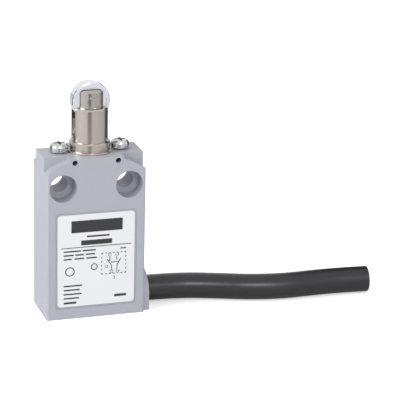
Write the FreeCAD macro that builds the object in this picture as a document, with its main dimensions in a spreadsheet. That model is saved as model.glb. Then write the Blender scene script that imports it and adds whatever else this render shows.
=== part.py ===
"""Compact prewired limit switch with a roller plunger.

+Z up along the plunger, -Y towards the nameplate, +X towards the cable. The origin is the centre of the
housing's base. Lengths are in millimetres.
"""
import FreeCAD, Part
import math
import os

import Sketcher

SIZES = {
    # housing
    "body_width": 30.0, "body_depth": 17.0, "body_height": 49.5, "edge_radius": 0.7, "wall": 2.0,
    "side_wall": 2.8, "floor_wall": 2.4, "cavity_top": 34.5, "channel_radius": 4.6,
    "fixing_spacing": 20.0, "fixing_height": 40.7, "fixing_radius": 2.5,
    "counterbore_radius": 4.15, "counterbore_depth": 5.0,
    "relief_depth": 3.5, "relief_inner": 8.15, "relief_drop": 4.4, "relief_rise": 3.6,
    "relief_radius": 19.0, "ear_radius": 1.8,
    "boss_radius": 7.0, "boss_length": 2.0, "boss_lip": 0.35,
    "post_radius": 2.0, "post_depth": 3.4,
    # nameplate
    "plate_width": 23.45, "plate_height": 28.55, "plate_bottom": 3.9, "plate_thickness": 0.25,
    "plate_corner": 1.0, "plate_margin": 0.7, "plate_recess": 0.3,
    # rear cover
    "cover_side_gap": 1.6, "cover_bottom": 1.2, "cover_top": 35.7, "cover_thickness": 1.5,
    "gasket_thickness": 0.5, "gasket_width": 1.3, "cover_screw_radius": 1.25,
    "cover_screw_side": 10.4, "cover_screw_low": 11.4, "cover_screw_high": 31.6,
    # head bush
    "spigot_radius": 6.0, "spigot_depth": 6.0, "spigot_floor": 1.0, "flange_radius": 6.75,
    "flange_thickness": 0.5, "collar_radius": 6.1, "collar_top": 3.2, "sleeve_radius": 5.4,
    "sleeve_top": 13.4, "sleeve_chamfer": 0.35, "guide_radius": 4.15, "slot_width": 4.2,
    "slot_bottom": 4.9, "seal_groove": 0.9, "pin_groove": 0.42,
    "lock_pin_radius": 0.8, "lock_pin_side": 6.53, "lock_pin_drop": 1.2, "lock_pin_length": 10.0,
    "lock_pin_sink": 1.4,
    # head screws
    "head_screw_side": 9.25, "head_screw_radius": 1.5, "head_screw_head": 2.75,
    "head_screw_rise": 2.3, "head_screw_length": 6.0, "recess_width": 0.75, "recess_span": 3.2,
    "recess_depth": 1.3,
    # plunger and roller
    "plunger_gap": 0.06, "plunger_bottom": 52.0, "plunger_top": 68.2, "plunger_chamfer": 0.5,
    "fork_slot": 4.5, "fork_bottom": 58.6, "roller_height": 64.75, "roller_radius": 5.75,
    "roller_thickness": 4.0, "roller_edge": 0.45, "roller_hub": 2.6, "roller_hub_rise": 0.15,
    "roller_ring": 4.6, "roller_ring_depth": 0.2, "roller_pin_radius": 1.5, "roller_gap": 0.05,
    "pin_ring_width": 0.38, "pin_ring_depth": 0.5,
    "ring_section": 0.58, "ring_groove_radius": 2.95, "ring_groove_low": 52.7,
    "ring_groove_width": 1.2,
    "rod_radius": 1.5, "rod_gap": 0.07, "rod_bottom": 31.05, "rod_top": 57.5,
    "clip_radius": 3.0, "clip_thickness": 0.8, "clip_gap": 0.12, "clip_mouth": 2.4,
    "spring_radius": 3.2, "spring_wire": 0.35, "spring_turns": 5.0,
    # contact block
    "block_side": 8.0, "block_bottom": 14.0, "block_top": 33.0, "block_front": -5.5,
    "block_back": 3.5, "chamber_side": 6.6, "chamber_bottom": 17.5, "chamber_top": 31.8,
    "chamber_front": -4.0, "block_lid": 1.5, "block_screw_side": 5.5, "block_screw_height": 15.75,
    "block_screw_radius": 1.0, "block_screw_head": 1.9, "block_screw_rise": 1.2,
    "tappet_width": 3.2, "tappet_depth": 3.8, "tappet_bottom": 24.0, "tappet_top": 31.0,
    "window_bottom": 26.2, "window_top": 30.2, "window_depth": 2.6,
    "bridge_length": 12.0, "bridge_width": 2.4, "bridge_thickness": 0.5, "bridge_bottom": 26.25,
    "tip_side": 4.9, "tip_radius": 1.0, "tip_thickness": 0.35, "tip_gap": 0.03,
    "contact_stroke": 3.0, "strip_inner": 3.6, "strip_long": 11.9, "strip_short": 10.3,
    "strip_width": 3.6, "strip_thickness": 0.5,
    "terminal_side": 9.4, "terminal_offset": 0.85, "terminal_radius": 0.75,
    "terminal_head": 0.95, "terminal_rise": 0.9, "terminal_length": 2.0,
    "earth_side": -4.0, "earth_height": 10.0, "earth_post_rise": 2.0, "earth_tag_radius": 2.3,
    "earth_tag_thickness": 0.6, "earth_screw_radius": 1.0, "earth_screw_head": 1.7,
    # cable
    "cable_radius": 3.95, "cable_gap": 0.05, "cable_height": 4.5, "jacket_start": 8.6,
    "sealant_length": 4.4, "sealant_top": 9.4, "core_radius": 0.65, "core_circle": 1.7,
}

doc = FreeCAD.newDocument("LimitSwitch")
sheet = doc.addObject("Spreadsheet::Sheet", "dims")
for row, (alias, number) in enumerate(SIZES.items(), 1):
    sheet.set(f"A{row}", alias)
    sheet.set(f"B{row}", str(number))
    sheet.setAlias(f"B{row}", alias)
doc.recompute()
V = FreeCAD.Vector
nodes = {}


def value(name):
    return float(getattr(sheet, name))


def bound(text):
    """The expression with each sheet alias written as a cell of the sheet."""
    for alias in sorted(SIZES, key=len, reverse=True):
        text = text.replace(alias, f"#{list(SIZES).index(alias)}#")
    for index, alias in enumerate(SIZES):
        text = text.replace(f"#{index}#", f"dims.{alias}")
    return text


def bind(item, **expressions):
    for path, text in expressions.items():
        item.setExpression(path.replace("__", "."), bound(text))


def place(item, x="0", y="0", z="0"):
    bind(item, Placement__Base__x=x, Placement__Base__y=y, Placement__Base__z=z)


def box(x, y, z, width, depth, height):
    """A box from its low corner and its three extents."""
    item = doc.addObject("Part::Box", "Block")
    bind(item, Length=width, Width=depth, Height=height)
    place(item, x, y, z)
    return item


ALONG = {"X": FreeCAD.Rotation(V(0, 1, 0), 90), "Y": FreeCAD.Rotation(V(1, 0, 0), -90),
         "Z": FreeCAD.Rotation()}


def rod(axis, radius, length, x="0", y="0", z="0"):
    """A cylinder that starts at the point and runs along the positive axis."""
    item = doc.addObject("Part::Cylinder", "Rod")
    item.Placement = FreeCAD.Placement(V(), ALONG[axis])
    bind(item, Radius=radius, Height=length)
    place(item, x, y, z)
    return item


def fuse(*items):
    item = doc.addObject("Part::MultiFuse", "Union")
    item.Shapes = list(items)
    item.Refine = True
    return item


def cut(base, *tools):
    item = doc.addObject("Part::Cut", "Difference")
    item.Base = base
    item.Tool = fuse(*tools) if len(tools) > 1 else tools[0]
    return item


def common(*items):
    item = doc.addObject("Part::MultiCommon", "Overlap")
    item.Shapes = list(items)
    return item


def group(*items):
    """Separate solids that share one node."""
    item = doc.addObject("Part::Compound", "Group")
    item.Links = list(items)
    return item


def rounded(item, radius, chosen):
    """Fillets the edges of the item for which chosen(edge) is true."""
    doc.recompute()
    fillet = doc.addObject("Part::Fillet", "Rounding")
    fillet.Base = item
    size = value(radius)
    edges = enumerate(item.Shape.Edges, 1)
    fillet.Edges = [(index, size, size) for index, edge in edges if chosen(edge)]
    return fillet


def upright(edge):
    """True for an edge along Z."""
    ends = [vertex.Point for vertex in edge.Vertexes]
    return len(ends) == 2 and ends[0].sub(ends[1]).cross(V(0, 0, 1)).Length < 1e-6


def across(edge):
    """True for an edge along Y."""
    ends = [vertex.Point for vertex in edge.Vertexes]
    return len(ends) == 2 and ends[0].sub(ends[1]).cross(V(0, 1, 0)).Length < 1e-6


def turned(outline):
    """A PartDesign body turned about Z from (radius, height) points given as expressions."""
    body = doc.addObject("PartDesign::Body", "Turned")
    sketch = body.newObject("Sketcher::SketchObject", "Profile")
    planes = {plane.Role: plane for plane in body.Origin.OriginFeatures}
    sketch.AttachmentSupport = [(planes["XZ_Plane"], "")]
    sketch.MapMode = "FlatFace"
    points = [[sketch.evalExpression(bound(text)) for text in point] for point in outline]
    points = [V(float(radius), float(height), 0) for radius, height in points]
    count = len(points)
    for index in range(count):
        sketch.addGeometry(Part.LineSegment(points[index], points[(index + 1) % count]))
    for index, (radius, height) in enumerate(outline):
        sketch.addConstraint(Sketcher.Constraint("Coincident", index, 2, (index + 1) % count, 1))
        for kind, text, size in (("DistanceX", radius, points[index].x),
                                 ("DistanceY", height, points[index].y)):
            number = sketch.addConstraint(Sketcher.Constraint(kind, -1, 1, index, 1, size))
            sketch.setExpression(f"Constraints[{number}]", bound(text))
    doc.recompute()
    revolution = body.newObject("PartDesign::Revolution", "Revolution")
    revolution.Profile = sketch
    revolution.ReferenceAxis = (sketch, ["V_Axis"])
    revolution.Angle = 360
    doc.recompute()
    return body


def ring(axis_radius, section, z):
    item = doc.addObject("Part::Torus", "Ring")
    bind(item, Radius1=axis_radius, Radius2=section)
    place(item, z=z)
    return item


def coil(radius, wire, turns, low, high):
    """A helical spring between two heights, from sheet values."""
    item = doc.addObject("Part::Feature", "Coil")
    pitch = (high - low - 2 * wire) / turns
    path = Part.makeHelix(pitch, pitch * turns, radius)
    circle = Part.Wire(Part.makeCircle(wire, V(radius, 0, 0), V(0, 1, 0)))
    sweep = Part.BRepOffsetAPI.MakePipeShell(Part.Wire(path.Edges))
    sweep.setFrenetMode(True)
    sweep.add(circle)
    sweep.build()
    sweep.makeSolid()
    item.Shape = sweep.shape()
    item.Placement = FreeCAD.Placement(V(0, 0, low + wire), FreeCAD.Rotation())
    return item


def tube(points, radius):
    """A round tube along straight runs joined by tangent arcs, and the radii of its arcs."""
    points = [V(*point) for point in points]
    edges = []
    radii = []
    start = points[0]
    for before, corner, after in zip(points, points[1:], points[2:]):
        inward = corner.sub(before)
        outward = after.sub(corner)
        shorter = min(inward.Length, outward.Length)
        reach = 0.45 * shorter
        inward.normalize()
        outward.normalize()
        turn = inward.getAngle(outward)
        radii.append(reach / math.tan(turn / 2))
        enter = corner.sub(inward * reach)
        leave = corner.add(outward * reach)
        inner = outward.sub(inward)
        inner.normalize()
        middle = corner.add(inner * (radii[-1] / math.cos(turn / 2) - radii[-1]))
        edges.append(Part.LineSegment(start, enter).toShape())
        edges.append(Part.Arc(enter, middle, leave).toShape())
        start = leave
    edges.append(Part.LineSegment(start, points[-1]).toShape())
    path = Part.Wire(edges)
    direction = points[1].sub(points[0])
    item = doc.addObject("Part::Feature", "Tube")
    item.Shape = path.makePipeShell([Part.Wire(Part.makeCircle(radius, points[0], direction))], True, True)
    exact = math.pi * radius ** 2 * path.Length
    if abs(item.Shape.Volume / exact - 1) > 0.002:
        raise ValueError("a tube's volume differs from its section times its length")
    return item, radii, path.Length


def node(name, item):
    item.Label = name
    nodes[name] = item


# ---- housing ------------------------------------------------------------------------------------------
def relief(side, face):
    """The cut at one top corner, bounded below by a wide arc and a rounded ear."""
    sign = "" if side > 0 else "-"
    low = "body_height - relief_drop"
    outer = "body_width / 2"
    left = "relief_inner" if side > 0 else "-body_width / 2 - 1"
    front = "-body_depth / 2 - 1" if face < 0 else "body_depth / 2 - relief_depth"
    block = box(left, front, f"{low} - ear_radius", f"{outer} + 1 - relief_inner", "relief_depth + 1",
                "relief_drop + ear_radius + 1")
    # The arc passes through the ear's corner and the top of the rise.
    run = value("body_width") / 2 - value("relief_inner")
    rise = value("relief_rise")
    chord = math.hypot(run, rise)
    reach = math.sqrt(value("relief_radius") ** 2 - chord ** 2 / 4)
    centre_x = (value("body_width") / 2 + value("relief_inner")) / 2 - reach * rise / chord
    centre_z = value("body_height") - value("relief_drop") + rise / 2 - reach * run / chord
    disc = rod("Y", "relief_radius", "body_depth + 4", y="-body_depth / 2 - 2")
    disc.setExpression("Placement.Base.x", f"{sign}1 * {centre_x}")
    disc.setExpression("Placement.Base.z", f"{centre_z}")
    return cut(block, disc)


def housing():
    half = "body_width / 2"
    shell = box(f"-{half}", "-body_depth / 2", "0", "body_width", "body_depth", "body_height")
    shell = rounded(shell, "edge_radius", upright)
    reliefs = [relief(side, face) for side in (-1, 1) for face in (-1, 1)]
    shell = cut(shell, *reliefs)
    boss_end = "body_width / 2 + boss_length"
    boss = fuse(rod("X", "boss_radius", f"{boss_end} - 10", x="10", z="cable_height"),
                box("10", "-boss_radius", "0", f"{boss_end} - 10", "2 * boss_radius", "cable_height"))
    boss = common(boss, box("10", "-10", "0", "20", "20", "20"))
    shell = fuse(shell, boss)
    cavity_half = "body_width / 2 - side_wall"
    ledge = "body_depth / 2 - cover_thickness - gasket_thickness"
    front = "-body_depth / 2 + wall"
    cavity = box(f"-({cavity_half})", front, "floor_wall", f"2 * ({cavity_half})", "body_depth",
                 "cavity_top - floor_wall")
    cover_half = "body_width / 2 - cover_side_gap"
    seat = box(f"-({cover_half})", ledge, "cover_bottom", f"2 * ({cover_half})", "body_depth",
               "cover_top - cover_bottom")
    channel = rod("Z", "channel_radius", "body_height", z="cavity_top - 1")
    bush_bore = rod("Z", "spigot_radius + 0.03", "spigot_depth + 1", z="body_height - spigot_depth")
    cable_bore = rod("X", "cable_radius + cable_gap", "30", x="jacket_start - 1", z="cable_height")
    lip = rod("X", "cable_radius + boss_lip", "10", x=f"{boss_end} - boss_lip", z="cable_height")
    recess = box("-plate_width / 2 - plate_margin", "-body_depth / 2 - 1", "plate_bottom - plate_margin",
                 "plate_width + 2 * plate_margin", "1 + plate_recess", "plate_height + 2 * plate_margin")
    recess = rounded(recess, "plate_corner", across)
    tools = [cavity, seat, channel, bush_bore, cable_bore, lip, recess]
    for side in ("-", ""):
        x = f"{side}fixing_spacing / 2"
        tools.append(rod("Y", "fixing_radius", "body_depth + 2", x, "-body_depth / 2 - 1", "fixing_height"))
        for start in ("-body_depth / 2 - 1", "body_depth / 2 - counterbore_depth"):
            tools.append(rod("Y", "counterbore_radius", "counterbore_depth + 1", x, start, "fixing_height"))
        tools.append(rod("Y", "lock_pin_radius + 0.03", "lock_pin_length + lock_pin_sink + 1",
                         f"{side}lock_pin_side", "-body_depth / 2 - 1", "body_height - lock_pin_drop"))
        tools.append(rod("Z", "head_screw_radius", "head_screw_length + 1", f"{side}head_screw_side", "0",
                         "body_height + flange_thickness - head_screw_length"))
    shell = cut(shell, *tools)
    posts = []
    pilots = []
    for side in ("-", ""):
        for height in ("cover_screw_low", "cover_screw_high"):
            x = f"{side}cover_screw_side"
            posts.append(rod("Y", "post_radius", "post_depth", x, f"{ledge} - post_depth", height))
            pilots.append(rod("Y", "cover_screw_radius", "post_depth", x, f"{ledge} - post_depth + 0.4", height))
        x = f"{side}block_screw_side"
        posts.append(rod("Y", "post_radius", f"block_front + body_depth / 2 - wall + 0.5", x, f"{front} - 0.5",
                         "block_screw_height"))
        pilots.append(rod("Y", "block_screw_radius", "4", x, f"{front} - 0.9", "block_screw_height"))
    posts.append(rod("Y", "earth_tag_radius", "earth_post_rise + 0.5", "earth_side", f"{front} - 0.5",
                     "earth_height"))
    pilots.append(rod("Y", "earth_screw_radius", "6", "earth_side", f"{front} - 0.5", "earth_height"))
    posts = common(fuse(*posts), box(f"-({cavity_half}) - 1", "-body_depth", "0",
                                     f"2 * ({cavity_half}) + 2", "2 * body_depth", "cavity_top + 1"))
    node("housing", cut(fuse(shell, posts), *pilots))


# ---- covers and label ---------------------------------------------------------------------------------
def covers():
    half = "(body_width / 2 - cover_side_gap - 0.1)"
    height = "cover_top - cover_bottom - 0.2"
    back = "body_depth / 2"
    bottom = "cover_bottom + 0.1"
    plate = box(f"-{half}", f"{back} - cover_thickness", bottom, f"2 * {half}", "cover_thickness", height)
    heads = []
    screws = []
    for side in ("-", ""):
        for level in ("cover_screw_low", "cover_screw_high"):
            x = f"{side}cover_screw_side"
            heads.append(rod("Y", "cover_screw_radius + 0.1", "4", x, f"{back} - 3", level))
            heads.append(rod("Y", "cover_screw_radius + 0.95", "2", x, f"{back} - 0.9", level))
            shank = rod("Y", "cover_screw_radius", "cover_thickness + gasket_thickness + post_depth - 1.8",
                        x, f"{back} - cover_thickness - gasket_thickness - post_depth + 0.9", level)
            head = rod("Y", "cover_screw_radius + 0.85", "0.85", x, f"{back} - 0.9", level)
            drive = box(f"{x} - 0.3", f"{back} - 0.55", f"{level} - 1.5", "0.6", "1", "3")
            screws.append(cut(fuse(shank, head), drive))
    node("rear_cover", cut(plate, *heads))
    node("rear_cover_screws", group(*screws))
    sheet_gasket = box(f"-{half}", f"{back} - cover_thickness - gasket_thickness", bottom, f"2 * {half}",
                       "gasket_thickness", height)
    opening = box(f"-{half} + gasket_width", "0", f"{bottom} + gasket_width", f"2 * {half} - 2 * gasket_width",
                  "body_depth", f"{height} - 2 * gasket_width")
    pads = [rod("Y", "cover_screw_radius + 0.1", "body_depth", f"{side}cover_screw_side", "0", level)
            for side in ("-", "") for level in ("cover_screw_low", "cover_screw_high")]
    node("rear_cover_gasket", cut(sheet_gasket, opening, *pads))
    label = box("-plate_width / 2", "-body_depth / 2 + plate_recess - plate_thickness", "plate_bottom",
                "plate_width", "plate_thickness", "plate_height")
    node("nameplate", rounded(label, "plate_corner", across))


# ---- head ---------------------------------------------------------------------------------------------
def head():
    top = "body_height"
    bush = turned([
        ("rod_radius + rod_gap", f"{top} - spigot_depth"),
        ("spigot_radius - seal_groove", f"{top} - spigot_depth"),
        ("spigot_radius - seal_groove", f"{top} - spigot_depth + 1.3"),
        ("spigot_radius", f"{top} - spigot_depth + 1.3"),
        ("spigot_radius", f"{top} - lock_pin_drop - 0.9"),
        ("spigot_radius - pin_groove", f"{top} - lock_pin_drop - 0.9"),
        ("spigot_radius - pin_groove", f"{top} - lock_pin_drop + 0.9"),
        ("spigot_radius", f"{top} - lock_pin_drop + 0.9"),
        ("spigot_radius", top),
        ("flange_radius", top),
        ("flange_radius", f"{top} + flange_thickness - 0.15"),
        ("flange_radius - 0.15", f"{top} + flange_thickness"),
        ("collar_radius", f"{top} + flange_thickness"),
        ("collar_radius", f"{top} + collar_top - 0.3"),
        ("collar_radius - 0.3", f"{top} + collar_top"),
        ("sleeve_radius", f"{top} + collar_top"),
        ("sleeve_radius", f"{top} + sleeve_top - sleeve_chamfer"),
        ("sleeve_radius - sleeve_chamfer", f"{top} + sleeve_top"),
        ("guide_radius", f"{top} + sleeve_top"),
        ("guide_radius", f"{top} - spigot_depth + spigot_floor"),
        ("rod_radius + rod_gap", f"{top} - spigot_depth + spigot_floor"),
    ])
    slot_low = f"{top} + slot_bottom"
    slot = fuse(box("-10", "-slot_width / 2", f"{slot_low} + slot_width / 2", "20", "slot_width", "20"),
                rod("X", "slot_width / 2", "20", "-10", "0", f"{slot_low} + slot_width / 2"))
    node("head_bush", cut(bush, slot))
    node("bush_seal_ring", ring("spigot_radius - seal_groove + 0.47", "0.42",
                                f"{top} - spigot_depth + 0.65"))
    pins = [rod("Y", "lock_pin_radius", "lock_pin_length", f"{side}lock_pin_side",
                "-body_depth / 2 + lock_pin_sink", f"{top} - lock_pin_drop") for side in ("-", "")]
    node("bush_lock_pins", group(*pins))
    node("head_screws", group(*[head_screw(side) for side in ("-", "")]))


def head_screw(side):
    seat = "body_height + flange_thickness"
    dome = turned([
        ("0", f"{seat} - head_screw_length + 0.3"),
        ("head_screw_radius", f"{seat} - head_screw_length + 0.3"),
        ("head_screw_radius", seat),
        ("head_screw_head", seat),
        ("head_screw_head", f"{seat} + 0.55 * head_screw_rise"),
        ("head_screw_head * 0.93", f"{seat} + 0.78 * head_screw_rise"),
        ("head_screw_head * 0.78", f"{seat} + 0.92 * head_screw_rise"),
        ("head_screw_head * 0.5", f"{seat} + head_screw_rise"),
        ("0", f"{seat} + head_screw_rise"),
    ])
    low = f"{seat} + head_screw_rise - recess_depth"
    cross = [box("-recess_span / 2", "-recess_width / 2", low, "recess_span", "recess_width", "5"),
             box("-recess_width / 2", "-recess_span / 2", low, "recess_width", "recess_span", "5")]
    screw = cut(dome, *cross)
    place(screw, f"{side}head_screw_side")
    return screw


# ---- plunger, rod and roller --------------------------------------------------------------------------
def plunger_parts():
    outer = "guide_radius - plunger_gap"
    blank = turned([
        ("rod_radius", "plunger_bottom"),
        (f"{outer} - 0.3", "plunger_bottom"),
        (outer, "plunger_bottom + 0.3"),
        (outer, "ring_groove_low"),
        ("ring_groove_radius", "ring_groove_low"),
        ("ring_groove_radius", "ring_groove_low + ring_groove_width"),
        (outer, "ring_groove_low + ring_groove_width"),
        (outer, "plunger_top - plunger_chamfer"),
        (f"{outer} - plunger_chamfer", "plunger_top"),
        ("0", "plunger_top"),
        ("0", "rod_top"),
        ("rod_radius", "rod_top"),
    ])
    slot = box("-10", "-fork_slot / 2", "fork_bottom", "20", "fork_slot", "20")
    hole = rod("Y", "roller_pin_radius", "20", "0", "-10", "roller_height")
    rings = [rod("Y", "roller_pin_radius + pin_ring_width", "5", "0", f"{outer} - pin_ring_depth",
                 "roller_height"),
             rod("Y", "roller_pin_radius + pin_ring_width", "5", "0", f"-({outer} - pin_ring_depth) - 5",
                 "roller_height")]
    node("plunger", cut(blank, slot, hole, *rings))
    pin = common(rod("Y", "roller_pin_radius", "20", "0", "-10", "roller_height"),
                 rod("Z", outer, "20", z="roller_height - 10"))
    node("roller_pin", pin)
    face = "roller_thickness / 2"
    bore = "roller_pin_radius + roller_gap"
    edge = "roller_edge"
    wheel = turned([
        (bore, f"-{face} - roller_hub_rise"),
        ("roller_hub", f"-{face} - roller_hub_rise"),
        ("roller_hub", f"-{face} + roller_ring_depth"),
        ("roller_ring", f"-{face} + roller_ring_depth"),
        ("roller_ring", f"-{face}"),
        (f"roller_radius - {edge}", f"-{face}"),
        (f"roller_radius - 0.3 * {edge}", f"-{face} + 0.3 * {edge}"),
        ("roller_radius", f"-{face} + {edge}"),
        ("roller_radius", f"{face} - {edge}"),
        (f"roller_radius - 0.3 * {edge}", f"{face} - 0.3 * {edge}"),
        (f"roller_radius - {edge}", face),
        ("roller_ring", face),
        ("roller_ring", f"{face} - roller_ring_depth"),
        ("roller_hub", f"{face} - roller_ring_depth"),
        ("roller_hub", f"{face} + roller_hub_rise"),
        (bore, f"{face} + roller_hub_rise"),
    ])
    wheel.Placement = FreeCAD.Placement(V(), ALONG["Y"])
    place(wheel, z="roller_height")
    node("roller", wheel)
    node("plunger_seal", ring("ring_groove_radius + ring_section", "ring_section",
                              "ring_groove_low + ring_groove_width / 2"))
    clip_low = "body_height - spigot_depth - clip_gap - clip_thickness"
    rod_groove = cut(rod("Z", "rod_radius + 1", "clip_thickness", z=clip_low),
                     rod("Z", "rod_radius - 0.3", "clip_thickness", z=clip_low))
    stem = rod("Z", "rod_radius", "rod_top - rod_bottom", z="rod_bottom")
    node("push_rod", cut(stem, rod_groove))
    clip = cut(rod("Z", "clip_radius", "clip_thickness", z=clip_low),
               rod("Z", "rod_radius - 0.3", "clip_thickness", z=clip_low),
               box("0", "-clip_mouth / 2", clip_low, "10", "clip_mouth", "clip_thickness"))
    node("push_rod_clip", clip)
    node("return_spring", coil(value("spring_radius"), value("spring_wire"), value("spring_turns"),
                               value("body_height") - value("spigot_depth") + value("spigot_floor"),
                               value("plunger_bottom")))


# ---- contact block ------------------------------------------------------------------------------------
def contact_block():
    depth = "block_back - block_front"
    body = box("-block_side", "block_front", "block_bottom", "2 * block_side", depth,
               "block_top - block_bottom")
    chamber = box("-chamber_side", "chamber_front", "chamber_bottom", "2 * chamber_side",
                  "block_back - chamber_front + 1", "chamber_top - chamber_bottom")
    rod_hole = rod("Z", "rod_radius + rod_gap + 0.1", "10", z="chamber_top - 1")
    screw_holes = [rod("Y", "block_screw_radius + 0.1", "20", f"{side}block_screw_side", "-10",
                       "block_screw_height") for side in ("-", "")]
    slots = []
    for level in ("nc", "no"):
        slots.append(box("-block_side - 1", "-strip_width / 2", STRIP_LOW[level], "2 * block_side + 2",
                         "strip_width", "strip_thickness"))
    node("contact_block_base", cut(body, chamber, rod_hole, *screw_holes, *slots))
    lid = box("-block_side", "block_back", "block_bottom", "2 * block_side", "block_lid",
              "block_top - block_bottom")
    node("contact_block_cover", cut(lid, *screw_holes))
    screws = []
    for side in ("-", ""):
        x = f"{side}block_screw_side"
        start = "block_front - 1.5"
        end = "block_back + block_lid"
        shank = rod("Y", "block_screw_radius", f"{end} - ({start})", x, start, "block_screw_height")
        cap = rod("Y", "block_screw_head", "block_screw_rise", x, end, "block_screw_height")
        drive = box(f"{x} - 1.2", f"{end} + 0.6", "block_screw_height - 0.25", "2.4", "2", "0.5")
        screws.append(cut(fuse(shank, cap), drive))
    node("contact_block_screws", group(*screws))


TIP_TOP = "bridge_bottom + bridge_thickness + tip_thickness"
STRIP_LOW = {
    "nc": f"{TIP_TOP} + tip_gap + tip_thickness",
    "no": "bridge_bottom - 2 * tip_thickness - contact_stroke - tip_gap - strip_thickness",
}
TIP_LOW = {
    "nc": f"{TIP_TOP} + tip_gap",
    "no": "bridge_bottom - 2 * tip_thickness - contact_stroke - tip_gap",
}
STRIP_END = {"nc": "strip_long", "no": "strip_short"}


def contacts():
    tips = []
    screws = []
    for level, label in (("nc", "break"), ("no", "make")):
        strips = []
        low = STRIP_LOW[level]
        length = f"{STRIP_END[level]} - strip_inner"
        for side in ("-", ""):
            start = "strip_inner" if side == "" else f"-{STRIP_END[level]}"
            hole = rod("Z", "terminal_radius", "5", f"{side}terminal_side", "terminal_offset", f"{low} - 1")
            strips.append(cut(box(start, "-strip_width / 2", low, length, "strip_width", "strip_thickness"),
                              hole))
            tips.append(rod("Z", "tip_radius", "tip_thickness", f"{side}tip_side", "0", TIP_LOW[level]))
            top = f"{low} + strip_thickness"
            shank = rod("Z", "terminal_radius", "terminal_length", f"{side}terminal_side", "terminal_offset",
                        f"{top} - terminal_length")
            cap = rod("Z", "terminal_head", "terminal_rise", f"{side}terminal_side", "terminal_offset", top)
            screws.append(fuse(shank, cap))
        node(f"{label}_contact_strips", group(*strips))
    node("fixed_contact_tips", group(*tips))
    node("terminal_screws", group(*screws))
    bar = box("-tappet_width / 2", "-tappet_depth / 2", "tappet_bottom", "tappet_width", "tappet_depth",
              "tappet_top - tappet_bottom")
    window = box("-5", "-window_depth / 2", "window_bottom", "10", "window_depth",
                 "window_top - window_bottom")
    node("tappet", cut(bar, window))
    node("contact_bridge", box("-bridge_length / 2", "-bridge_width / 2", "bridge_bottom",
                               "bridge_length", "bridge_width", "bridge_thickness"))
    rivets = [rod("Z", "tip_radius", "tip_thickness", f"{side}tip_side", "0", low)
              for side in ("-", "") for low in ("bridge_bottom - tip_thickness",
                                                "bridge_bottom + bridge_thickness")]
    node("bridge_contact_tips", group(*rivets))
    node("bridge_spring", coil(0.85, 0.14, 6, value("bridge_bottom") + value("bridge_thickness"),
                               value("window_top")))
    node("tappet_spring", coil(1.3, 0.16, 7, value("chamber_bottom"), value("tappet_bottom")))


def earth():
    base = "-body_depth / 2 + wall + earth_post_rise"
    disc = rod("Y", "earth_tag_radius", "earth_tag_thickness", "earth_side", base, "earth_height")
    tail = box("earth_side - 0.9", base, "earth_height - 4.4", "1.8", "earth_tag_thickness", "4.4")
    hole = rod("Y", "earth_screw_radius", "5", "earth_side", f"{base} - 1", "earth_height")
    node("earth_tag", cut(fuse(disc, tail), hole))
    shank = rod("Y", "earth_screw_radius", "earth_post_rise + earth_tag_thickness + 0.3", "earth_side",
                f"{base} - earth_post_rise - 0.3", "earth_height")
    cap = rod("Y", "earth_screw_head", "1.1", "earth_side", f"{base} + earth_tag_thickness", "earth_height")
    node("earth_screw", fuse(shank, cap))


# ---- cable --------------------------------------------------------------------------------------------
# The free cable lies on the surface that the housing stands on and ends at a bare cut.
CABLE_ROUTE = [
    (8.6, 0.0, 4.5), (20.6, 0.0, 4.5), (31.0, -0.5, 4.25), (40.5, -3.0, 4.02), (49.5, -6.2, 3.98),
    (59.5, -7.9, 3.97), (69.5, -7.5, 3.98), (78.8, -7.5, 3.97), (87.2, -8.3, 3.97),
]


def cable():
    route, radii, length = tube(CABLE_ROUTE, value("cable_radius"))
    print("cable radii", [round(radius, 1) for radius in radii], "length", round(length, 1))
    node("cable", route)
    half = "(body_width / 2 - side_wall)"
    block = box(f"{half} - sealant_length", "-body_depth / 2 + wall + 0.02", "floor_wall + 0.02",
                "sealant_length - 0.02", "body_depth - 2 * wall - 0.6", "sealant_top - floor_wall")
    bore = rod("X", "cable_radius + cable_gap", "20", "0", "0", "cable_height")
    node("entry_sealant", cut(block, bore))


def cores():
    """The five insulated cores, from the jacket's end to their terminals."""
    start = value("jacket_start") - 0.15
    axis_height = value("cable_height")
    reach = value("core_circle")
    outer = value("strip_long") - 0.7
    inner = value("terminal_side") - 0.1
    lane = -1.1
    break_level, make_level = [sheet.evalExpression(bound(STRIP_LOW[level])) for level in ("nc", "no")]
    tag = value("earth_height") - 4.75
    ends = {
        "brown": (-54, [(2.4, 0.8, 3.3), (-3.0, 0.2, 4.0), (-8.8, -0.4, 7.0), (-outer, -1.0, 13.0),
                        (-outer, lane, break_level)]),
        "blue": (162, [(3.0, -1.9, 5.0), (-4.4, -1.0, 7.8), (-inner, lane, 12.6),
                       (-inner, lane, make_level)]),
        "black": (18, [(5.6, 2.2, 5.6), (4.4, 2.3, 10.9), (8.0, 1.6, 11.4), (outer, 0.6, 12.9),
                       (outer, lane, 18.0), (outer, lane, break_level)]),
        "grey": (90, [(4.4, -0.2, 6.8), (3.0, -0.8, 11.4), (6.6, lane, 11.6), (inner, lane, 12.7),
                      (inner, lane, make_level)]),
        "green_yellow": (-126, [(2.2, -2.4, 3.2), (-2.9, -4.1, 3.25), (-4.0, -4.2, tag)]),
    }
    for colour, (angle, points) in ends.items():
        angle = math.radians(angle)
        first = (start, reach * math.cos(angle), axis_height + reach * math.sin(angle))
        route, _, _ = tube([first] + points, value("core_radius"))
        node(f"core_{colour}", route)


housing()
covers()
head()
plunger_parts()
contact_block()
contacts()
earth()
cable()
cores()
doc.recompute()

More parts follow.
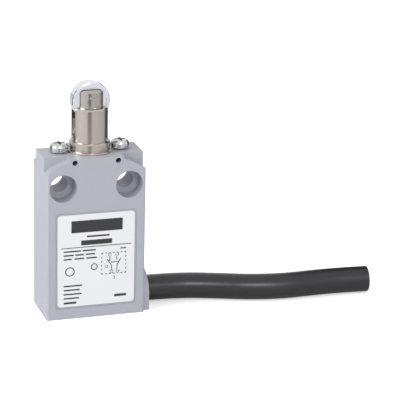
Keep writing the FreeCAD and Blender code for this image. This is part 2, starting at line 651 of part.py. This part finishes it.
failed = [item.Label for item in doc.Objects if "Invalid" in item.State or "Error" in item.State]
if failed:
    raise ValueError(f"failed objects: {failed}")
os.makedirs("parts", exist_ok=True)
for name, item in nodes.items():
    if item.Shape.isNull() or not item.Shape.isValid():
        raise ValueError(f"{name} has no valid shape")
    item.Shape.exportStep(f"parts/{name}.step")
    print(name, len(item.Shape.Solids), round(item.Shape.Volume, 1))
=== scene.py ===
import math

import bmesh
import bpy
from mathutils import Matrix, Vector


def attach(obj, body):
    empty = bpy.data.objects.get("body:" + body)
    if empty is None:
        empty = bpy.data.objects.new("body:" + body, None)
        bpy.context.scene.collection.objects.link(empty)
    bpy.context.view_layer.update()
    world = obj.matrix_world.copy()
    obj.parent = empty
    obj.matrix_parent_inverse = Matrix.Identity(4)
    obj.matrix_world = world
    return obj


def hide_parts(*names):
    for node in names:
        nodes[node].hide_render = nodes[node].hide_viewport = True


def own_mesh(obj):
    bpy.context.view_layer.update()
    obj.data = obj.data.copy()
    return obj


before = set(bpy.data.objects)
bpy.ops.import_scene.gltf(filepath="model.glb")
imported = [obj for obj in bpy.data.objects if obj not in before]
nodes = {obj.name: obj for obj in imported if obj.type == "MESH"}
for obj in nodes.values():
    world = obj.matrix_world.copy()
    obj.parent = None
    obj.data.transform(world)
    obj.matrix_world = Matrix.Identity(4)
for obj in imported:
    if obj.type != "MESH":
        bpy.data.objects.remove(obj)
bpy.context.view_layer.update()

mm = 0.001
scene = bpy.context.scene


# camera: stands at the front left, a little above the object
cameraSpec = {
    "place": (-0.1395, -0.5212, 0.2114), "turn": 18.483, "tilt": 18.154, "roll": 1.461, "lens": 171.66,
}


def makeCamera(spec):
    data = bpy.data.cameras.new("camera")
    data.lens = spec["lens"]
    data.sensor_width = 36
    data.clip_start = 0.01
    camera = bpy.data.objects.new("camera", data)
    scene.collection.objects.link(camera)
    turn = Matrix.Rotation(math.radians(-spec["turn"]), 4, "Z")
    tilt = Matrix.Rotation(math.radians(90 - spec["tilt"]), 4, "X")
    roll = Matrix.Rotation(math.radians(spec["roll"]), 4, "Z")
    camera.matrix_world = Matrix.Translation(spec["place"]) @ turn @ tilt @ roll
    scene.camera = camera


makeCamera(cameraSpec)
print("camera set")


# material helpers
def newMaterial(name):
    material = bpy.data.materials.new(name)
    material.use_nodes = True
    tree = material.node_tree
    return material, tree, tree.nodes["Principled BSDF"]


def addNode(tree, kind, **settings):
    node = tree.nodes.new(kind)
    for name, value in settings.items():
        setattr(node, name, value)
    return node


def buildGroup(name, inputs, outputs):
    group = bpy.data.node_groups.new(name, "ShaderNodeTree")
    for label, kind, default in inputs:
        socket = group.interface.new_socket(label, in_out="INPUT", socket_type="NodeSocket" + kind)
        socket.default_value = default
    for label, kind in outputs:
        group.interface.new_socket(label, in_out="OUTPUT", socket_type="NodeSocket" + kind)
    return group, group.nodes.new("NodeGroupInput"), group.nodes.new("NodeGroupOutput")


def closeGroup(group, entry, leave, tintBy, bumpBy, depthLabel, distance):
    # the first pattern varies colour and roughness about their own values, the second raises the bump
    shift = addNode(group, "ShaderNodeMath", operation="SUBTRACT")
    group.links.new(tintBy.outputs["Fac"], shift.inputs[0])
    shift.inputs[1].default_value = 0.5
    amount = addNode(group, "ShaderNodeMath", operation="MULTIPLY_ADD")
    group.links.new(shift.outputs[0], amount.inputs[0])
    group.links.new(entry.outputs["Variation"], amount.inputs[1])
    amount.inputs[2].default_value = 1
    tint = addNode(group, "ShaderNodeVectorMath", operation="SCALE")
    group.links.new(entry.outputs["Color"], tint.inputs[0])
    group.links.new(amount.outputs[0], tint.inputs["Scale"])
    rough = addNode(group, "ShaderNodeMath", operation="MULTIPLY")
    group.links.new(entry.outputs["Roughness"], rough.inputs[0])
    group.links.new(amount.outputs[0], rough.inputs[1])
    bump = addNode(group, "ShaderNodeBump")
    bump.inputs["Distance"].default_value = distance * mm
    group.links.new(entry.outputs[depthLabel], bump.inputs["Strength"])
    group.links.new(bumpBy.outputs["Fac"], bump.inputs["Height"])
    group.links.new(tint.outputs[0], leave.inputs["Color"])
    group.links.new(rough.outputs[0], leave.inputs["Roughness"])
    group.links.new(bump.outputs["Normal"], leave.inputs["Normal"])
    return group


def buildSurfaceGrain():
    # cloudy colour change and a fine bump, for paint, plastic and rubber
    group, entry, leave = buildGroup(
        "surfaceGrain",
        [("Color", "Color", (0.5, 0.5, 0.5, 1)), ("Variation", "Float", 0.04), ("Roughness", "Float", 0.5),
         ("Cloud Scale", "Float", 160.0), ("Grain Scale", "Float", 2600.0), ("Grain Depth", "Float", 0.1)],
        [("Color", "Color"), ("Roughness", "Float"), ("Normal", "Vector")])
    place = addNode(group, "ShaderNodeTexCoord")
    cloud = addNode(group, "ShaderNodeTexNoise")
    cloud.inputs["Detail"].default_value = 4
    grain = addNode(group, "ShaderNodeTexNoise")
    grain.inputs["Detail"].default_value = 2
    for noise, scale in ((cloud, "Cloud Scale"), (grain, "Grain Scale")):
        group.links.new(place.outputs["Object"], noise.inputs["Vector"])
        group.links.new(entry.outputs[scale], noise.inputs["Scale"])
    return closeGroup(group, entry, leave, cloud, grain, "Grain Depth", 0.05)


def buildToolMarks():
    # fine marks left by turning, stacked along the Z axis
    group, entry, leave = buildGroup(
        "toolMarks",
        [("Color", "Color", (0.7, 0.7, 0.7, 1)), ("Variation", "Float", 0.1), ("Roughness", "Float", 0.2),
         ("Pitch", "Float", 9000.0), ("Depth", "Float", 0.1)],
        [("Color", "Color"), ("Roughness", "Float"), ("Normal", "Vector")])
    place = addNode(group, "ShaderNodeTexCoord")
    stretch = addNode(group, "ShaderNodeMapping")
    stretch.inputs["Scale"].default_value = (0.04, 0.04, 1)
    group.links.new(place.outputs["Object"], stretch.inputs["Vector"])
    marks = addNode(group, "ShaderNodeTexNoise")
    marks.inputs["Detail"].default_value = 3
    group.links.new(stretch.outputs["Vector"], marks.inputs["Vector"])
    group.links.new(entry.outputs["Pitch"], marks.inputs["Scale"])
    return closeGroup(group, entry, leave, marks, marks, "Depth", 0.02)


surfaceGrain = buildSurfaceGrain()
toolMarks = buildToolMarks()


def makeFinish(name, group, color, values, metallic=0.0, **shader):
    material, tree, bsdf = newMaterial(name)
    effect = addNode(tree, "ShaderNodeGroup", node_tree=group)
    effect.inputs["Color"].default_value = (*color, 1)
    for label, value in values.items():
        effect.inputs[label].default_value = value
    bsdf.inputs["Metallic"].default_value = metallic
    for label, value in shader.items():
        bsdf.inputs[label.replace("_", " ")].default_value = value
    tree.links.new(effect.outputs["Color"], bsdf.inputs["Base Color"])
    tree.links.new(effect.outputs["Roughness"], bsdf.inputs["Roughness"])
    tree.links.new(effect.outputs["Normal"], bsdf.inputs["Normal"])
    return material


def grained(name, color, roughness, variation=0.05, depth=0.1, cloud=160, grain=2600, **shader):
    values = {"Roughness": roughness, "Variation": variation, "Grain Depth": depth,
              "Cloud Scale": cloud, "Grain Scale": grain}
    return makeFinish(name, surfaceGrain, color, values, **shader)


def machined(name, color, roughness, variation=0.1, depth=0.1, pitch=9000, **shader):
    values = {"Roughness": roughness, "Variation": variation, "Depth": depth, "Pitch": pitch}
    return makeFinish(name, toolMarks, color, values, metallic=1.0, **shader)


finishes = {
    "greyPaint": grained("greyPaint", (0.445, 0.462, 0.515), 0.42, 0.05, 0.25, 180, 1900),
    "labelFilm": grained("labelFilm", (0.86, 0.865, 0.89), 0.4, 0.02, 0.05, 300, 4000),
    "labelInk": grained("labelInk", (0.03, 0.03, 0.032), 0.45, 0.1, 0.1, 600, 4000),
    "nickelPlate": machined("nickelPlate", (0.52, 0.47, 0.435), 0.24, 0.12, 0.25, 7000),
    "turnedSteel": machined("turnedSteel", (0.45, 0.42, 0.395), 0.24, 0.12, 0.3, 9000),
    "polishedSteel": machined("polishedSteel", (0.75, 0.785, 0.84), 0.1, 0.1, 0.05, 9000),
    "brightZinc": machined("brightZinc", (0.6, 0.61, 0.62), 0.2, 0.15, 0.2, 9000),
    "blackOxide": machined("blackOxide", (0.03, 0.03, 0.032), 0.35, 0.2, 0.2, 6000),
    "springWire": machined("springWire", (0.45, 0.45, 0.46), 0.25, 0.1, 0.1, 9000),
    "cablePvc": grained("cablePvc", (0.017, 0.017, 0.021), 0.33, 0.25, 0.5, 120, 900),
    "nitrile": grained("nitrile", (0.02, 0.02, 0.02), 0.6, 0.15, 0.3),
    "blackThermoset": grained("blackThermoset", (0.03, 0.03, 0.03), 0.5, 0.1, 0.3),
    "whiteNylon": grained("whiteNylon", (0.75, 0.74, 0.7), 0.45, 0.05, 0.15),
    "stampedBrass": machined("stampedBrass", (0.8, 0.6, 0.3), 0.25, 0.12, 0.15, 7000),
    "contactSilver": machined("contactSilver", (0.85, 0.84, 0.82), 0.2, 0.1, 0.1, 9000),
    "cableFiller": grained("cableFiller", (0.32, 0.31, 0.3), 0.7, 0.2, 0.4, 900, 4000),
    "copperStrand": grained("copperStrand", (0.62, 0.3, 0.17), 0.3, 0.3, 0.5, 2500, 6000, Metallic=1.0),
    "castResin": grained("castResin", (0.03, 0.03, 0.035), 0.15, 0.1, 0.05),
    "brownCore": grained("brownCore", (0.16, 0.06, 0.025), 0.4),
    "blueCore": grained("blueCore", (0.02, 0.09, 0.42), 0.4),
    "blackCore": grained("blackCore", (0.02, 0.02, 0.02), 0.4),
    "greyCore": grained("greyCore", (0.3, 0.3, 0.3), 0.4),
    "earthCore": grained("earthCore", (0.3, 0.5, 0.04), 0.4),
}

nodeFinishes = {
    "greyPaint": ["housing", "rear_cover"],
    "labelFilm": ["nameplate"],
    "nickelPlate": ["head_bush"],
    "turnedSteel": ["plunger", "roller_pin", "push_rod", "push_rod_clip"],
    "polishedSteel": ["roller"],
    "brightZinc": ["head_screws", "rear_cover_screws", "contact_block_screws", "earth_screw",
                   "terminal_screws"],
    "blackOxide": ["bush_lock_pins"],
    "springWire": ["return_spring", "tappet_spring", "bridge_spring"],
    "nitrile": ["bush_seal_ring", "plunger_seal", "rear_cover_gasket"],
    "blackThermoset": ["contact_block_base"],
    "whiteNylon": ["contact_block_cover", "tappet"],
    "stampedBrass": ["break_contact_strips", "make_contact_strips", "contact_bridge", "earth_tag"],
    "contactSilver": ["fixed_contact_tips", "bridge_contact_tips"],
    "castResin": ["entry_sealant"],
    "brownCore": ["core_brown"],
    "blueCore": ["core_blue"],
    "blackCore": ["core_black"],
    "greyCore": ["core_grey"],
    "earthCore": ["core_green_yellow"],
}
for finish, members in nodeFinishes.items():
    for member in members:
        data = nodes[member].data
        data.materials.clear()
        data.materials.append(finishes[finish])
print("finishes set")


# springs: each CAD spring is copied as a welded wire piece on its body, and the CAD node hidden
springSpecs = [
    {"node": "return_spring", "body": "housing", "joint": "plunger_slide", "fixedEnd": 44.5, "travel": 5.0},
    {"node": "tappet_spring", "body": "housing", "joint": "tappet_slide", "fixedEnd": 17.5, "travel": 5.0},
    {"node": "bridge_spring", "body": "tappet", "joint": "bridge_float", "fixedEnd": 30.2, "travel": 2.0},
]


def makeSpring(spec):
    name = spec["node"] + "_wire"
    mesh = bpy.data.meshes.new(name)
    shape = bmesh.new()
    shape.from_mesh(nodes[spec["node"]].data)
    bmesh.ops.remove_doubles(shape, verts=shape.verts, dist=0.0005 * mm)
    shape.to_mesh(mesh)
    shape.free()
    mesh.materials.append(finishes["springWire"])
    piece = bpy.data.objects.new(name, mesh)
    scene.collection.objects.link(piece)
    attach(piece, spec["body"])
    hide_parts(spec["node"])
    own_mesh(piece)


for springSpec in springSpecs:
    makeSpring(springSpec)
print("springs made")


# cable: round flexible jacket, bare cut at its far end
cableSpec = {
    "radius": 3.95, "exit": (17.0, 0.0, 4.5),
    "route": [
        (8.6, 0.0, 4.5), (20.6, 0.0, 4.5), (31.0, -0.5, 4.25), (40.5, -3.0, 4.02), (49.5, -6.2, 3.98),
        (59.5, -7.9, 3.97), (69.5, -7.5, 3.98), (78.8, -7.5, 3.97), (87.2, -8.3, 3.97),
    ],
}


# the bare end shows the filler and five insulated cores, each round its strands
cutEndSpec = {
    "fillerRadius": 3.05, "coreRadius": 0.82, "copperRadius": 0.42, "coreCircle": 1.75, "depth": 0.1,
    "cores": ["brownCore", "blueCore", "blackCore", "greyCore", "earthCore"],
}


def addDisc(shape, place, offset, radius, depth, slot):
    made = bmesh.ops.create_cone(shape, cap_ends=True, segments=28, radius1=radius, radius2=radius,
                                 depth=depth, matrix=place @ Matrix.Translation(offset))
    for face in {face for vert in made["verts"] for face in vert.link_faces}:
        face.material_index = slot


def makeCutEnd(spec, route):
    end, before = Vector(route[-1]), Vector(route[-2])
    place = Matrix.Translation(end) @ (end - before).to_track_quat("Z", "Y").to_matrix().to_4x4()
    names = ["cableFiller", "copperStrand", *spec["cores"]]
    shape = bmesh.new()
    addDisc(shape, place, (0, 0, 0), spec["fillerRadius"], spec["depth"], 0)
    for index in range(len(spec["cores"])):
        angle = 2 * math.pi * index / len(spec["cores"])
        offset = (spec["coreCircle"] * math.cos(angle), spec["coreCircle"] * math.sin(angle), 0)
        addDisc(shape, place, offset, spec["coreRadius"], 2 * spec["depth"], 2 + index)
        addDisc(shape, place, offset, spec["copperRadius"], 3 * spec["depth"], 1)
    bmesh.ops.scale(shape, vec=(mm, mm, mm), verts=shape.verts)
    mesh = bpy.data.meshes.new("cable_cut_end")
    shape.to_mesh(mesh)
    shape.free()
    for name in names:
        mesh.materials.append(finishes[name])
    piece = bpy.data.objects.new("cable_cut_end", mesh)
    scene.collection.objects.link(piece)
    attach(piece, "housing")
    return piece


def makeCable(spec, cutEnd):
    curve = bpy.data.curves.new("cable_jacket", "CURVE")
    curve.dimensions = "3D"
    curve.bevel_depth = spec["radius"] * mm
    curve.bevel_resolution = 10
    curve.use_fill_caps = True
    spline = curve.splines.new("NURBS")
    spline.points.add(len(spec["route"]) - 1)
    for point, place in zip(spline.points, spec["route"]):
        point.co = (*(Vector(place) * mm), 1)
    spline.order_u = 3
    spline.use_endpoint_u = True
    spline.resolution_u = 16
    curve.materials.append(finishes["cablePvc"])
    cable = bpy.data.objects.new("cable_jacket", curve)
    scene.collection.objects.link(cable)
    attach(cable, "housing")
    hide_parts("cable")
    return cable


makeCable(cableSpec, makeCutEnd(cutEndSpec, cableSpec["route"]))
print("cable made")


# nameplate print: a blank title block, a rule, text shown as plain bars, two empty rings,
# and a contact diagram with plain numbers
printSpec = {
    "lift": 0.02, "ink": 0.02, "front": -8.45,
    "title": (-7.6, 26.9, 15.6, 3.7), "rule": (-10.6, 22.2, 21.4, 0.22),
    "bars": [
        (-2.9, 25.3, 6.9, 0.5), (-4.6, 22.9, 9.4, 1.5),
        (-9.9, 21.0, 5.2, 0.42), (-4.2, 21.0, 4.0, 0.42),
        (-9.9, 19.8, 3.0, 0.42), (-6.4, 19.8, 2.6, 0.42), (-3.2, 19.8, 2.8, 0.42),
        (-9.9, 18.6, 2.4, 0.42), (-6.6, 18.6, 2.9, 0.42), (-3.0, 18.6, 3.2, 0.42),
        (-9.9, 10.2, 5.6, 0.42), (-9.9, 8.9, 4.9, 0.42), (-9.9, 7.6, 5.5, 0.42), (-9.9, 6.3, 4.7, 0.42),
        (-9.9, 4.75, 3.9, 0.6),
        (7.4, 20.9, 1.7, 0.35), (5.6, 5.9, 3.7, 0.75),
    ],
    "rings": [(-8.0, 14.9, 1.45, 0.3), (-0.6, 15.9, 1.05, 0.28)],
    "dashBox": (1.6, 13.2, 7.6, 6.8, 0.55, 0.22),
    "lines": [
        ((4.2, 18.6), (4.2, 17.5)), ((4.2, 17.5), (3.6, 17.5)), ((3.4, 17.9), (4.7, 15.9)),
        ((4.7, 15.9), (4.7, 14.5)), ((6.3, 18.6), (6.3, 17.7)), ((7.5, 17.9), (6.4, 15.9)),
        ((6.4, 15.9), (6.4, 14.5)),
        ((4.7, 16.9), (6.7, 16.9)),
    ],
    "lineWidth": 0.22,
    "numbers": [("21", 3.5, 18.8), ("13", 5.7, 18.8), ("22", 4.0, 13.5), ("14", 5.8, 13.5), ("1", 2.4, 15.2),
                ("2", 3.0, 15.2), ("3", 5.2, 11.6)],
    "numberSize": 1.35,
}


def addBar(shape, x, z, width, height, depth):
    place = Matrix.Translation((x + width / 2, 0, z + height / 2))
    size = Matrix.Diagonal((width, depth, height, 1))
    bmesh.ops.create_cube(shape, size=1, matrix=place @ size)


def addStroke(shape, start, end, width, depth):
    run = Vector((end[0] - start[0], 0, end[1] - start[1]))
    middle = Vector(((start[0] + end[0]) / 2, 0, (start[1] + end[1]) / 2))
    turn = Matrix.Rotation(-math.atan2(run.z, run.x), 4, "Y")
    size = Matrix.Diagonal((run.length + width, depth, width, 1))
    bmesh.ops.create_cube(shape, size=1, matrix=Matrix.Translation(middle) @ turn @ size)


def addRing(shape, x, z, radius, width, depth):
    rim = []
    place = Matrix.Translation((x, 0, z)) @ Matrix.Rotation(math.pi / 2, 4, "X")
    for size in (radius, radius - width):
        circle = bmesh.ops.create_circle(shape, cap_ends=False, radius=size, segments=40, matrix=place)
        rim += list({edge for vert in circle["verts"] for edge in vert.link_edges})
    band = bmesh.ops.bridge_loops(shape, edges=rim)["faces"]
    raised = bmesh.ops.extrude_face_region(shape, geom=band)["geom"]
    lifted = [item for item in raised if isinstance(item, bmesh.types.BMVert)]
    bmesh.ops.translate(shape, vec=(0, depth, 0), verts=lifted)


def addNumber(shape, text, x, z, size, depth):
    curve = bpy.data.curves.new("number", "FONT")
    curve.body = text
    curve.size = size
    curve.extrude = depth / 2
    curve.resolution_u = 3
    letter = bpy.data.objects.new("number", curve)
    mesh = bpy.data.meshes.new_from_object(letter)
    mesh.transform(Matrix.Translation((x, 0, z)) @ Matrix.Rotation(math.pi / 2, 4, "X"))
    shape.from_mesh(mesh)
    bpy.data.objects.remove(letter)
    bpy.data.curves.remove(curve)
    bpy.data.meshes.remove(mesh)


def makePrint(spec):
    shape = bmesh.new()
    depth = spec["ink"]
    for bar in [spec["title"], spec["rule"], *spec["bars"]]:
        addBar(shape, *bar, depth)
    for ring in spec["rings"]:
        addRing(shape, *ring, depth)
    left, low, width, height, dash, line = spec["dashBox"]
    for count, span, place in ((7, width, "x"), (6, height, "z")):
        step = (span - dash) / (count - 1)
        for index in range(count):
            for far in (0, 1):
                if place == "x":
                    addBar(shape, left + index * step, low + far * (height - line), dash, line, depth)
                else:
                    addBar(shape, left + far * (width - line), low + index * step, line, dash, depth)
    for start, end in spec["lines"]:
        addStroke(shape, start, end, spec["lineWidth"], depth)
    for text, x, z in spec["numbers"]:
        addNumber(shape, text, x, z, spec["numberSize"], depth)
    bmesh.ops.recalc_face_normals(shape, faces=shape.faces)
    bmesh.ops.translate(shape, vec=(0, spec["front"] - spec["lift"], 0), verts=shape.verts)
    bmesh.ops.scale(shape, vec=(mm, mm, mm), verts=shape.verts)
    mesh = bpy.data.meshes.new("nameplate_print")
    shape.to_mesh(mesh)
    shape.free()
    mesh.materials.append(finishes["labelInk"])
    piece = bpy.data.objects.new("nameplate_print", mesh)
    scene.collection.objects.link(piece)
    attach(piece, "housing")


makePrint(printSpec)
print("nameplate printed")


# stage: pale floor, white surroundings, two softboxes
stageSpec = {"floorSize": 6.0, "floorColor": (0.92, 0.92, 0.93), "glow": 0.5}


def makeStage(spec):
    mesh = bpy.data.meshes.new("floor")
    shape = bmesh.new()
    bmesh.ops.create_grid(shape, x_segments=1, y_segments=1, size=spec["floorSize"] / 2)
    shape.to_mesh(mesh)
    shape.free()
    floor = bpy.data.objects.new("floor", mesh)
    scene.collection.objects.link(floor)
    material, tree, bsdf = newMaterial("paleFloor")
    bsdf.inputs["Base Color"].default_value = (*spec["floorColor"], 1)
    bsdf.inputs["Roughness"].default_value = 0.9
    bsdf.inputs["Specular IOR Level"].default_value = 0.1
    mesh.materials.append(material)
    glow = addNode(tree, "ShaderNodeEmission")
    glow.inputs["Strength"].default_value = spec["glow"]
    path = addNode(tree, "ShaderNodeLightPath")
    tree.links.new(path.outputs["Is Camera Ray"], glow.inputs["Color"])
    both = addNode(tree, "ShaderNodeAddShader")
    tree.links.new(bsdf.outputs[0], both.inputs[0])
    tree.links.new(glow.outputs[0], both.inputs[1])
    tree.links.new(both.outputs[0], tree.nodes["Material Output"].inputs["Surface"])


# surroundings: white where they are seen or mirrored, and softer as a light
worldSpec = {"strength": 0.5, "mirrored": 1.0}


def makeWorld(spec):
    world = bpy.data.worlds.new("studio")
    scene.world = world
    world.use_nodes = True
    tree = world.node_tree
    background = tree.nodes["Background"]
    background.inputs["Color"].default_value = (1, 1, 1, 1)
    background.inputs["Strength"].default_value = spec["strength"]
    seen = addNode(tree, "ShaderNodeBackground")
    seen.inputs["Color"].default_value = (1, 1, 1, 1)
    seen.inputs["Strength"].default_value = spec["mirrored"]
    path = addNode(tree, "ShaderNodeLightPath")
    either = addNode(tree, "ShaderNodeMath", operation="MAXIMUM")
    mix = addNode(tree, "ShaderNodeMixShader")
    tree.links.new(path.outputs["Is Camera Ray"], either.inputs[0])
    tree.links.new(path.outputs["Is Glossy Ray"], either.inputs[1])
    tree.links.new(either.outputs[0], mix.inputs["Fac"])
    tree.links.new(background.outputs[0], mix.inputs[1])
    tree.links.new(seen.outputs[0], mix.inputs[2])
    tree.links.new(mix.outputs[0], tree.nodes["World Output"].inputs["Surface"])


# studio cards, seen only in reflections: they give round plated parts their dark edges and centre band
cardSpecs = [
    {"name": "rightWing", "azimuth": 132, "reach": 0.15, "width": 0.12, "height": 0.16, "shade": 0.05},
    {"name": "leftWing", "azimuth": -108, "reach": 0.15, "width": 0.07, "height": 0.16, "shade": 0.05},
    {"name": "middleStrip", "azimuth": 4, "reach": 0.15, "width": 0.06, "height": 0.075, "shade": 0.35},
]


def makeCard(spec):
    # the azimuth is counted from the camera's side of the object towards its right
    away = math.radians(-90 - cameraSpec["turn"] + spec["azimuth"])
    mesh = bpy.data.meshes.new(spec["name"])
    shape = bmesh.new()
    bmesh.ops.create_grid(shape, x_segments=1, y_segments=1, size=0.5)
    bmesh.ops.scale(shape, vec=(spec["width"], spec["height"], 1), verts=shape.verts)
    bmesh.ops.rotate(shape, matrix=Matrix.Rotation(math.pi / 2, 3, "X"), verts=shape.verts)
    bmesh.ops.rotate(shape, matrix=Matrix.Rotation(away + math.pi / 2, 3, "Z"), verts=shape.verts)
    place = (spec["reach"] * math.cos(away), spec["reach"] * math.sin(away), spec["height"] / 2)
    bmesh.ops.translate(shape, vec=place, verts=shape.verts)
    shape.to_mesh(mesh)
    shape.free()
    card = bpy.data.objects.new(spec["name"], mesh)
    scene.collection.objects.link(card)
    material, tree, bsdf = newMaterial(spec["name"])
    bsdf.inputs["Base Color"].default_value = (spec["shade"], spec["shade"], spec["shade"], 1)
    bsdf.inputs["Roughness"].default_value = 1
    bsdf.inputs["Specular IOR Level"].default_value = 0
    mesh.materials.append(material)
    card.visible_camera = False
    card.visible_diffuse = False
    card.visible_shadow = False


lampSpecs = [
    {"name": "leftSoftbox", "place": (-0.8, -0.16, 0.45), "size": 0.5, "power": 5.15},
    {"name": "frontSoftbox", "place": (0.0, -0.95, 0.66), "size": 0.3, "power": 3.25},
]


def makeLamp(spec):
    data = bpy.data.lights.new(spec["name"], "AREA")
    data.size = spec["size"]
    data.energy = spec["power"]
    lamp = bpy.data.objects.new(spec["name"], data)
    scene.collection.objects.link(lamp)
    place = Vector(spec["place"])
    aim = Vector((0, 0, 0.03)) - place
    lamp.rotation_euler = aim.to_track_quat("-Z", "Y").to_euler()
    lamp.location = place


makeStage(stageSpec)
makeWorld(worldSpec)
for cardSpec in cardSpecs:
    makeCard(cardSpec)
for lampSpec in lampSpecs:
    makeLamp(lampSpec)
scene.view_settings.view_transform = "Standard"
print("stage made")
